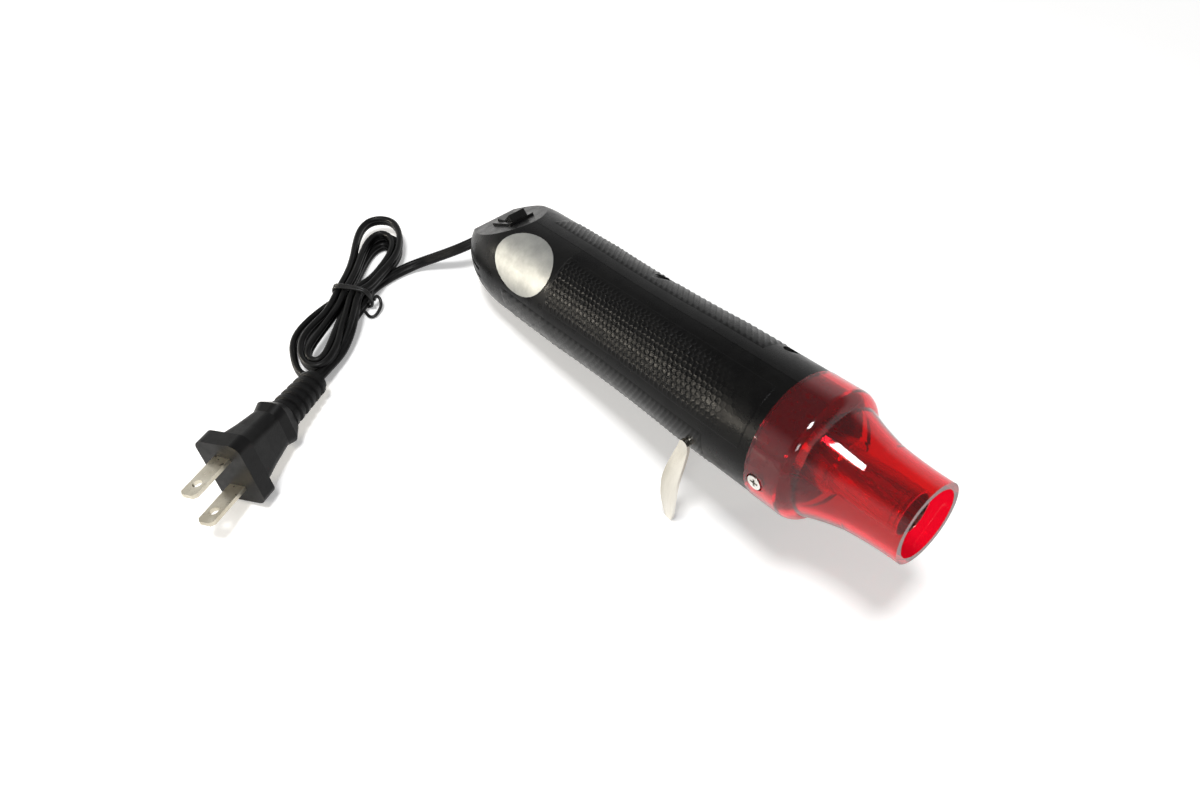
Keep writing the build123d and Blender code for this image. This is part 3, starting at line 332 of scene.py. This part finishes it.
# Cord: out of the boot, down to the table, four turns of the tied hank, and up into the plug; millimetres
lead_route = [
    (-108.7, -5.6, 13.5), (-110.4, -11.9, 12.0), (-117.0, -19.8, 7.2), (-123.4, -27.6, 2.9),
    (-124.6, -35.0, 2.3), (-124.4, -40.5, 2.3), (-123.6, -46.0, 2.4),
]
hank_route = [
    (-121.7, -51.3, 2.8), (-119.3, -52.7, 3.3), (-116.7, -55.8, 3.5), (-112.2, -65.1, 2.4),
    (-105.4, -71.1, 2.2), (-100.1, -77.0, 2.2), (-96.2, -83.5, 2.2), (-94.6, -89.4, 2.2),
    (-95.9, -93.3, 2.2), (-101.5, -94.7, 2.2), (-108.4, -92.9, 2.2), (-114.8, -90.1, 2.2),
    (-119.4, -85.6, 2.2), (-122.6, -79.2, 2.2), (-124.8, -71.4, 2.2), (-125.3, -65.5, 2.6),
    (-124.8, -62.8, 3.5), (-133.2, -54.8, 2.6), (-139.6, -48.5, 2.2), (-145.4, -40.8, 2.2),
    (-147.8, -35.5, 2.2), (-147.6, -31.2, 2.2), (-145.1, -28.1, 2.2), (-140.9, -27.1, 2.2),
    (-135.9, -29.1, 2.2), (-131.5, -33.7, 2.2), (-128.3, -39.5, 2.2), (-125.2, -46.6, 2.4),
    (-121.5, -53.2, 3.0), (-118.7, -57.6, 3.5), (-113.7, -66.9, 2.4), (-106.7, -73.5, 2.2),
    (-101.8, -79.2, 2.2), (-99.0, -84.5, 2.2), (-99.8, -88.8, 2.2), (-103.9, -90.5, 2.2),
    (-109.1, -89.6, 2.2), (-113.6, -86.9, 2.2), (-117.4, -82.3, 2.2), (-120.0, -76.1, 2.2),
    (-122.0, -68.6, 2.6), (-122.7, -61.1, 3.5), (-131.3, -52.5, 2.6), (-137.1, -46.5, 2.2),
    (-141.6, -40.6, 2.2), (-143.3, -36.2, 2.2), (-143.0, -32.8, 2.2), (-140.3, -31.5, 2.2),
    (-136.1, -32.4, 2.2), (-132.3, -36.7, 2.2), (-129.3, -41.8, 2.2), (-125.2, -48.8, 2.6),
    (-120.7, -59.3, 3.8), (-113.5, -68.0, 5.6), (-107.1, -73.8, 6.7), (-101.5, -79.3, 6.7),
    (-97.5, -84.0, 6.7), (-96.7, -87.8, 6.7), (-100.0, -89.5, 6.7), (-103.9, -87.9, 6.7),
    (-106.9, -84.2, 6.7), (-110.1, -79.1, 6.7), (-113.7, -73.3, 6.7), (-117.5, -66.7, 7.2),
    (-122.7, -61.1, 8.0), (-129.5, -53.2, 7.2), (-137.1, -46.3, 6.7), (-142.3, -41.0, 6.7),
    (-145.2, -36.4, 6.7), (-145.3, -32.5, 6.7), (-142.8, -30.4, 6.7), (-138.6, -30.4, 6.7),
    (-134.5, -32.4, 6.7), (-130.1, -36.9, 6.7), (-126.7, -42.3, 6.7), (-122.5, -49.3, 7.2),
    (-120.6, -59.2, 8.0), (-112.3, -66.4, 7.2), (-105.9, -72.3, 6.7), (-99.4, -77.5, 6.7),
    (-94.9, -83.3, 6.7), (-93.7, -88.1, 6.7), (-96.8, -91.1, 6.7), (-102.1, -91.3, 6.7),
    (-107.9, -88.8, 6.7), (-112.1, -84.9, 6.7), (-115.0, -79.2, 6.7), (-117.3, -72.2, 7.0),
    (-124.8, -62.8, 8.0), (-132.2, -54.6, 7.2), (-138.6, -49.2, 6.7), (-145.2, -44.4, 6.7),
    (-150.6, -40.0, 6.7), (-154.0, -35.8, 6.7), (-155.2, -31.7, 6.7), (-153.9, -27.9, 6.7),
    (-150.6, -24.9, 6.7), (-146.0, -24.1, 6.7), (-140.5, -25.6, 6.7), (-134.8, -28.8, 6.7),
    (-129.6, -33.3, 6.7), (-126.1, -38.8, 6.7), (-122.5, -45.6, 7.2), (-118.8, -52.2, 7.8),
]
end_route = [
    (-118.6, -57.4, 8.0), (-108.3, -65.5, 7.0), (-102.5, -71.5, 5.4), (-97.6, -78.0, 4.3),
    (-93.9, -85.2, 4.9), (-88.9, -93.2, 6.7),
]

# The cord's section is two round cores side by side, and lies flat but where it leaves the boot and the hank
CURVE_STEPS = 10
CORE_R = 1.25 * MM
CORE_OFF = 0.95 * MM
SECTION_STEPS = 20
LEAD_LEAN = radians(58)
LEAD_LENGTH = 58 * MM
END_LEAN = radians(70)
END_LENGTH = 45 * MM
TURNOVER = 30 * MM

cord_line = spline_line(lead_route + hank_route + end_route, CURVE_STEPS)
outline = []
for step in range(SECTION_STEPS):
    turn = 2 * pi * step / SECTION_STEPS
    reach = CORE_OFF * abs(cos(turn)) + sqrt(CORE_R ** 2 - (CORE_OFF * sin(turn)) ** 2)
    outline.append((reach * cos(turn), reach * sin(turn)))
run = [0.0]
for before, after in zip(cord_line, cord_line[1:]):
    run.append(run[-1] + (after - before).length)
leans = []
for place in run:
    lead_share = clamped((LEAD_LENGTH - place) / TURNOVER)
    end_share = clamped((place - run[-1] + END_LENGTH) / TURNOVER)
    leans.append(LEAD_LEAN * lead_share + END_LEAN * end_share)
cord = swept("mains_cord", cord_line, outline, leans, black_cord)
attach(cord, "body")
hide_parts("cord_lead", "cord_hank", "cord_end")

# Twist tie: a band round the waist with a loop and a curl of the same wire
WAIST = Vector((-121.3, -59.8, 0))
HANK_TURN = radians(-48.6)
ALONG = Vector((cos(HANK_TURN), sin(HANK_TURN), 0))
ACROSS = Vector((-ALONG.y, ALONG.x, 0))
WIRE_R = 0.65 * MM

# Places of the band's bends: along the hank, across it, height
band_bends = [
    (-0.6, -6.9, 3.2), (-0.5, -6.9, 8.6), (-0.3, -5.4, 10.9), (0.1, 1.0, 11.2), (0.4, 7.0, 10.7),
    (0.6, 8.6, 7.6), (0.7, 8.7, 3.2), (0.7, 7.4, 0.8), (0.6, 1.0, 0.7), (0.5, -5.6, 0.8),
    (0.6, -6.9, 3.4), (0.8, -6.9, 8.4), (0.9, -5.4, 10.7), (1.0, 1.0, 11.0), (1.1, 6.8, 10.4),
    (1.2, 8.6, 7.2), (1.0, 9.0, 4.4),
]


def wire(name, routes, finish):
    """Bent wires of one piece, each a smooth spline."""
    curve = bpy.data.curves.new(name, "CURVE")
    curve.dimensions = "3D"
    curve.resolution_u = 8
    curve.bevel_depth = WIRE_R
    curve.bevel_resolution = 4
    curve.use_fill_caps = True
    for route in routes:
        add_spline(curve, route)
    curve.materials.append(finish)
    made = bpy.data.objects.new(name, curve)
    bpy.context.scene.collection.objects.link(made)
    return made


band = []
for lead, across, height in band_bends:
    band.append(WAIST + ALONG * lead + ACROSS * across + Vector((0, 0, height)))
tie_loop = [
    (-114.4, -53.6, 4.6), (-116.4, -51.6, 4.6), (-114.9, -50.8, 3.4), (-112.4, -51.9, 2.2),
    (-110.6, -54.4, 1.4), (-109.6, -57.0, 0.9), (-110.9, -58.7, 0.8), (-113.4, -58.6, 1.2),
    (-115.2, -59.0, 1.8), (-116.4, -58.4, 2.0),
]
tie_curl = [
    (-126.9, -64.9, 3.0), (-127.9, -64.5, 3.0), (-128.9, -63.6, 3.2), (-128.9, -62.2, 3.6),
    (-127.6, -61.6, 4.2), (-126.2, -63.4, 5.0),
]
tie = wire("twist_tie_wire", [band, tie_loop, tie_curl], black_tie)
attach(tie, "body")
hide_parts("twist_tie")


# Moulded grip relief on the barrel; x runs along the tool, arc and turn run round it from the near side up
BARREL_R = 21.3
WAIST_DEPTH = 0.6
WAIST_X = -66
WAIST_HALF = 32
FAR_SCREWS_X = (-14, -70)
SCREW_HEIGHT = 15.9
SCREW_CLEAR = 3.0
SCREW_EDGE = 1.2
SUNK_BELOW = 0.16
SKIN_RISE = 0.2
SKIN_EDGE = 0.7
PLAIN_BORDER = 0.6
PATTERN_EDGE = 1.4


def barrel_radius(x):
    """Radius of the barrel, slightly waisted."""
    return BARREL_R - WAIST_DEPTH * max(0.0, 1 - ((x - WAIST_X) / WAIST_HALF) ** 2)


def screw_fade(x, turn):
    """0 over the recesses of the far side's screws, 1 away from them."""
    if turn <= pi / 2:
        return 1.0
    fades = []
    for screw_x in FAR_SCREWS_X:
        off = sqrt((x - screw_x) ** 2 + (BARREL_R * sin(turn) - SCREW_HEIGHT) ** 2)
        fades.append(smooth((off - SCREW_CLEAR) / SCREW_EDGE))
    return min(fades)


def relief(name, x_range, turn_range, mesh_step, pattern):
    """Patch of relief that follows the barrel and sinks into it at its edges."""
    x_low, x_high = x_range
    arc_low, arc_high = radians(turn_range[0]) * BARREL_R, radians(turn_range[1]) * BARREL_R
    columns = round((x_high - x_low) / mesh_step)
    rows = round((arc_high - arc_low) / mesh_step)
    verts = []
    bare = []
    for column in range(columns + 1):
        x = x_low + (x_high - x_low) * column / columns
        for row in range(rows + 1):
            arc = arc_low + (arc_high - arc_low) * row / rows
            turn = arc / BARREL_R
            inset = min(x - x_low, x_high - x, arc - arc_low, arc_high - arc)
            fade = min(smooth(inset / SKIN_EDGE), screw_fade(x, turn))
            rise = SKIN_RISE + smooth((inset - PLAIN_BORDER) / PATTERN_EDGE) * pattern(x, arc)
            radius = barrel_radius(x) - SUNK_BELOW + fade * rise
            verts.append(tool_place(x, -radius * cos(turn), radius * sin(turn)))
            bare.append(fade == 0)
    faces = []
    for column in range(columns):
        for row in range(rows):
            first = column * (rows + 1) + row
            corners = (first, first + rows + 1, first + rows + 2, first + 1)
            if not all(bare[corner] for corner in corners):
                faces.append(corners)
    made = piece(name, verts, faces, black_shell)
    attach(made, "body")


# Patterns of the relief, in millimetres
RIB_SHARPNESS = 1.3
RIDGE_PITCH = 2.5
RIDGE_SLOPE = 0.85
RIDGE_HEIGHT = 0.26
FINE_PITCH = 2.0
FINE_ALONG = 0.8
FINE_ROUND = 0.6
FINE_BEND = 0.003
FINE_MIDDLE = -60
FINE_HEIGHT = 0.2
CELL = 2.1
CELL_ROWS = CELL * 0.84
CELL_ROW_STRAY = 0.2
CELL_STRAY = 0.18
CELL_WALL = 0.65
CELL_HEIGHT = 0.24
CELLS_END = -4
CELLS_FADE = 34
CELLS_TURNS = (18, 78)
CELLS_LOW_FADE = 8
CELLS_HIGH_FADE = 12


def rib(phase, height):
    """Height of a rib at a phase in whole ribs."""
    return height * (0.5 + 0.5 * cos(2 * pi * phase)) ** RIB_SHARPNESS


def ridges(x, arc):
    """Diagonal ridges."""
    return rib((x + RIDGE_SLOPE * arc) / RIDGE_PITCH, RIDGE_HEIGHT)


def fine_ribs(x, arc):
    """Fine ribs that curve round the underside."""
    along = x * FINE_ALONG - arc * FINE_ROUND + FINE_BEND * (x - FINE_MIDDLE) ** 2
    return rib(along / FINE_PITCH, FINE_HEIGHT)


def cells(x, arc):
    """Network of thin raised cell outlines, softer towards the nose and the edges."""
    nearest_row = round(arc / CELL_ROWS)
    gaps = []
    for row in (nearest_row - 1, nearest_row, nearest_row + 1):
        shift = (row % 2) * CELL / 2 + CELL_ROW_STRAY * sin(row * 2.7)
        middle = round((x - shift) / CELL)
        for column in (middle - 1, middle, middle + 1):
            centre = column * CELL + shift + CELL_STRAY * sin(3.1 * column + 1.7 * row)
            gaps.append(sqrt((x - centre) ** 2 + (arc - row * CELL_ROWS) ** 2))
    gaps.sort()
    wall = 1 - smooth((gaps[1] - gaps[0]) / CELL_WALL)
    turn = arc / radians(1) / BARREL_R
    low, high = CELLS_TURNS
    round_fade = smooth((turn - low) / CELLS_LOW_FADE) * smooth((high - turn) / CELLS_HIGH_FADE)
    return CELL_HEIGHT * wall * smooth((CELLS_END - x) / CELLS_FADE) * round_fade


relief("grip_far", (-122, -17), (101, 168), 0.36, ridges)
relief("grip_near", (-99, -3), CELLS_TURNS, 0.24, cells)
relief("grip_under", (-126, -17), (-56, 11), 0.4, fine_ribs)

# Floor, background and light in metres; a wall's place is the sine of its height above the horizon
FLOOR_HALF = 4
FLOOR_TONE = 0.88
NEAR_LIFT = 0.3
FAR_LIFT = 0.8
NEAR_REACH = 0.4
FAR_REACH = 1.5
SOFT_LIGHT = 0.3
WALL_TOP = 0.38
WALL_FADED = 0.6


def math_node(tree, operation, first, second):
    """Result of a sum over two values."""
    node = tree.nodes.new("ShaderNodeMath")
    node.operation = operation
    tree.links.new(first, node.inputs[0])
    tree.links.new(second, node.inputs[1])
    return node.outputs["Value"]


def seen_white(tree):
    """1 for rays that see the white backdrop: camera, glossy and transmission rays."""
    rays = tree.nodes.new("ShaderNodeLightPath").outputs
    metal_or_glass = math_node(tree, "MAXIMUM", rays["Is Glossy Ray"], rays["Is Transmission Ray"])
    return math_node(tree, "MAXIMUM", rays["Is Camera Ray"], metal_or_glass)


def white_floor():
    """Pale floor that keeps shadows and is lifted towards white, more so far away."""
    finish, shader = material("floor_white", (FLOOR_TONE, FLOOR_TONE, FLOOR_TONE), 0.9, gloss=0.1)
    tree = finish.node_tree
    place = tree.nodes.new("ShaderNodeTexCoord")
    reach = tree.nodes.new("ShaderNodeVectorMath")
    reach.operation = "LENGTH"
    tree.links.new(place.outputs["Object"], reach.inputs[0])
    lift = ranged(tree, reach.outputs["Value"], NEAR_LIFT, FAR_LIFT, NEAR_REACH, FAR_REACH)
    tree.links.new(math_node(tree, "MULTIPLY", seen_white(tree), lift), shader.inputs["Emission Strength"])
    shader.inputs["Emission Color"].default_value = (1, 1, 1, 1)
    half = FLOOR_HALF
    corners = [(-half, -half, 0), (half, -half, 0), (half, half, 0), (-half, half, 0)]
    piece("floor", corners, [(0, 1, 2, 3)], finish, rounded=False)


def background(tree, strength):
    """White background of a strength."""
    node = tree.nodes.new("ShaderNodeBackground")
    node.inputs["Color"].default_value = (1, 1, 1, 1)
    node.inputs["Strength"].default_value = strength
    return node.outputs["Background"]


def white_room():
    """Soft light all round, and a white wall behind the object for the rays that see one."""
    world = bpy.data.worlds.new("world")
    bpy.context.scene.world = world
    world.use_nodes = True
    tree = world.node_tree
    tree.nodes.clear()
    way = tree.nodes.new("ShaderNodeTexCoord")
    parts = tree.nodes.new("ShaderNodeSeparateXYZ")
    tree.links.new(way.outputs["Generated"], parts.inputs["Vector"])
    wall = ranged(tree, parts.outputs["Z"], 1, 0, WALL_TOP, WALL_FADED)
    choose = tree.nodes.new("ShaderNodeMixShader")
    output = tree.nodes.new("ShaderNodeOutputWorld")
    tree.links.new(math_node(tree, "MULTIPLY", seen_white(tree), wall), choose.inputs["Fac"])
    tree.links.new(background(tree, SOFT_LIGHT), choose.inputs[1])
    tree.links.new(background(tree, 1), choose.inputs[2])
    tree.links.new(choose.outputs["Shader"], output.inputs["Surface"])


def lamp(name, place, aim, wide, high, power, colour=(1, 1, 1)):
    """Soft light from a rectangle."""
    data = bpy.data.lights.new(name, "AREA")
    data.shape = "RECTANGLE"
    data.size = wide
    data.size_y = high
    data.energy = power
    data.color = colour
    made = bpy.data.objects.new(name, data)
    made.location = place
    made.rotation_euler = (Vector(aim) - Vector(place)).to_track_quat("-Z", "Y").to_euler()
    bpy.context.scene.collection.objects.link(made)


white_floor()
white_room()
lamp("key", (0.05, -0.2, 1.05), (0, 0, 0), 0.22, 0.22, 7.5)
lamp("fill", (0.45, -0.75, 0.8), (0, 0, 0), 0.2, 0.2, 1.2)
lamp("glint", (-0.39, -0.46, 0.15), (0, -0.017, 0.05), 0.3, 0.03, 2.2, (1, 0.92, 0.78))
bpy.context.scene.view_settings.view_transform = "Standard"
